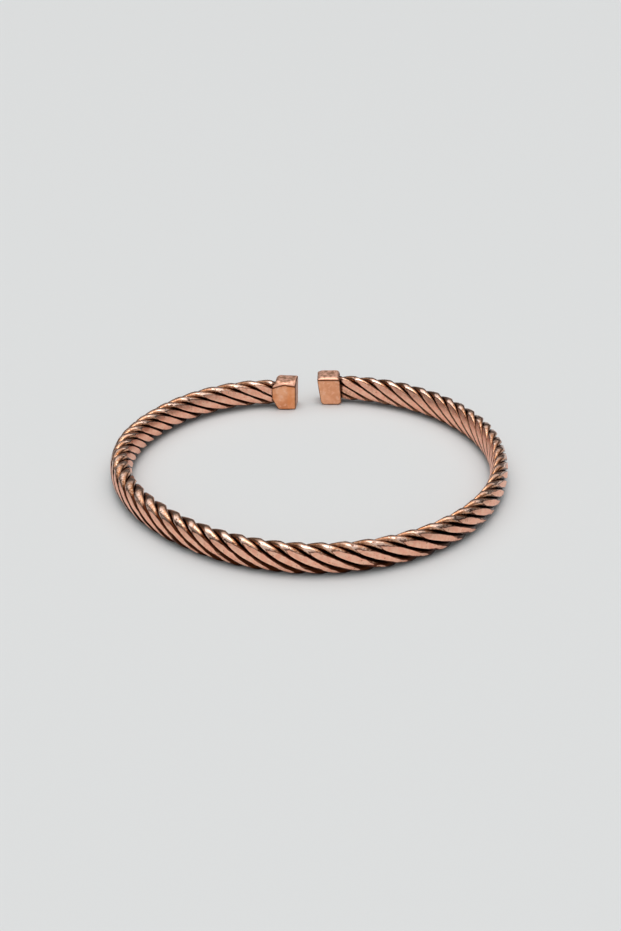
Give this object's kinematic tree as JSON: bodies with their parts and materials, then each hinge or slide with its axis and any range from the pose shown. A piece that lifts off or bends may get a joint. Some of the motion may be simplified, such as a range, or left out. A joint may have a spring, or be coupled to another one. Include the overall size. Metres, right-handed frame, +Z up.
{
  "type": "twisted copper cuff bracelet",
  "caption": "Open bracelet of heavy copper strands twisted into a flattened, hammered rope, with a squared copper cap over each end.",
  "frame": {"origin": "middle of the bracelet's box seen from above, on the surface that it lies on", "axes": "+Z up from the surface, along the axis of the wrist; +Y towards the gap between the two end caps; +X to the right of the picture, across the widest part"},
  "size_m": [0.0664, 0.0634, 0.0056],
  "materials": {
    "strand_copper": "hammered satin copper, darkened in the grooves",
    "cap_copper": "filed satin copper"
  },
  "bodies": {
    "root": {"strand_1": "strand_copper", "strand_2": "strand_copper", "strand_3": "strand_copper", "strand_4": "strand_copper", "strand_5": "strand_copper", "strand_6": "strand_copper", "left_end_cap": "cap_copper", "right_end_cap": "cap_copper"}
  },
  "joints": []
}
